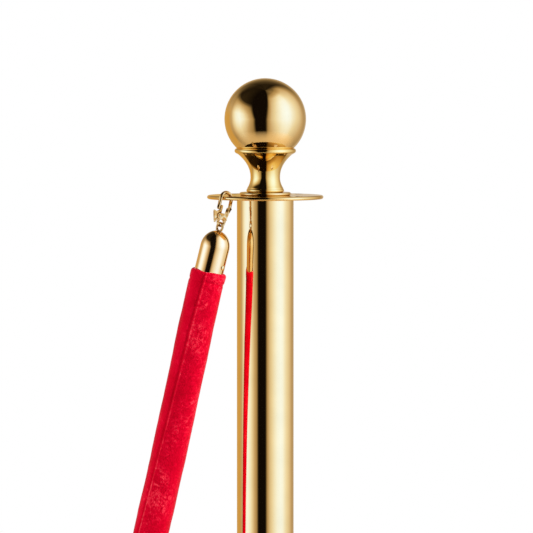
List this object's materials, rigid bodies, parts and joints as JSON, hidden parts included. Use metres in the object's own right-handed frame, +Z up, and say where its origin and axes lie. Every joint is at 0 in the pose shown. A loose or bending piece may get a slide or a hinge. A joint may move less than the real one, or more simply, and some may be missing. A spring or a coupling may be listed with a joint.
{
  "type": "rope barrier stanchion",
  "caption": "Free-standing crowd barrier post with a domed weighted base, a ball finial, a flat plate with rope holes, and a velvet rope with snap hooks hung from the plate.",
  "frame": {"origin": "on the floor under the middle of the base, leaving the rope and what is on it out of account", "axes": "+Z up along the post; the occupied rope hole is at 225 degrees from +X, towards -X and -Y; the viewer stands on the -Y side"},
  "size_m": [0.43, 0.3801, 0.9651],
  "materials": {
    "polished_gold": "mirror polished gold-tone plating",
    "hook_gold": "polished gold-tone casting",
    "steel": "zinc plated",
    "iron": "as cast",
    "rubber": "matt",
    "velvet": "crushed velvet pile",
    "cotton": "twisted cotton filling",
    "wood": "plain turned beech"
  },
  "bodies": {
    "post": {"floor_ring": "rubber", "base_weight": "iron", "base_cover": "polished_gold", "base_collar": "polished_gold", "base_bolt": "steel", "base_washer": "steel", "tube_foot_plug": "steel", "post_tube": "polished_gold", "tube_top_plug": "steel", "rope_plate": "polished_gold", "rope_sleeve": "velvet", "rope_filling": "cotton", "end_cap_a": "polished_gold", "cap_plug_a": "wood", "cap_screw_a": "polished_gold", "end_cap_b": "polished_gold", "cap_plug_b": "wood", "cap_screw_b": "polished_gold"},
    "seat": {"seat_washer": "polished_gold"},
    "finial": {"finial_neck": "polished_gold", "finial_ball": "polished_gold", "finial_stud": "steel", "finial_nut": "steel"},
    "eye_a": {"swivel_eye_a": "hook_gold", "swivel_rivet_a": "steel"},
    "hook_a": {"snap_hook_a": "hook_gold", "gate_pin_a": "steel", "gate_spring_a": "steel"},
    "gate_a": {"hook_gate_a": "hook_gold"},
    "eye_b": {"swivel_eye_b": "hook_gold", "swivel_rivet_b": "steel"},
    "hook_b": {"snap_hook_b": "hook_gold", "gate_pin_b": "steel", "gate_spring_b": "steel"},
    "gate_b": {"hook_gate_b": "hook_gold"}
  },
  "joints": [
    {"name": "finial_lift", "type": "slide", "parent": "post", "child": "seat", "axis": [0, 0, 1], "range_m": [0, 0.0121]},
    {"name": "finial_turn", "type": "hinge", "parent": "seat", "child": "finial", "pos_m": [0, 0, 0.8632], "axis": [0, 0, 1], "range_deg": [0, 2880]},
    {"name": "eye_a_swivel", "type": "hinge", "parent": "post", "child": "eye_a", "pos_m": [-0.04128, -0.03692, 0.82995], "axis": [0.2385, 0, 0.9711], "range_deg": [-3, 3]},
    {"name": "hook_a_swing", "type": "hinge", "parent": "eye_a", "child": "hook_a", "pos_m": [-0.0394, -0.03678, 0.83771], "axis": [-0.6428, 0.766, 0], "range_deg": [-0.5, 0.5]},
    {"name": "gate_a_open", "type": "hinge", "parent": "hook_a", "child": "gate_a", "pos_m": [-0.04155, -0.03859, 0.84351], "axis": [-0.6428, 0.766, 0], "range_deg": [0, 26], "stiffness_Nm_per_rad": 0.01, "springref_deg": -28.65, "deforming": ["gate_spring_a"]},
    {"name": "eye_b_swivel", "type": "hinge", "parent": "post", "child": "eye_b", "pos_m": [0.2, -0.03829, 0.01198], "axis": [0, -0.9945, -0.1045], "continuous": true},
    {"name": "hook_b_swing", "type": "hinge", "parent": "eye_b", "child": "hook_b", "pos_m": [0.2, -0.04621, 0.01096], "axis": [0, -0.3256, 0.9455], "range_deg": [-45, 45]},
    {"name": "gate_b_open", "type": "hinge", "parent": "hook_b", "child": "gate_b", "pos_m": [0.2043, -0.05074, 0.0094], "axis": [0, 0.3256, -0.9455], "range_deg": [0, 26], "stiffness_Nm_per_rad": 0.01, "springref_deg": -28.65, "deforming": ["gate_spring_b"]}
  ],
  "couplings": [
    {"joint": "finial_lift", "follows": "finial_turn", "m_per_rad": 0.00023873}
  ]
}
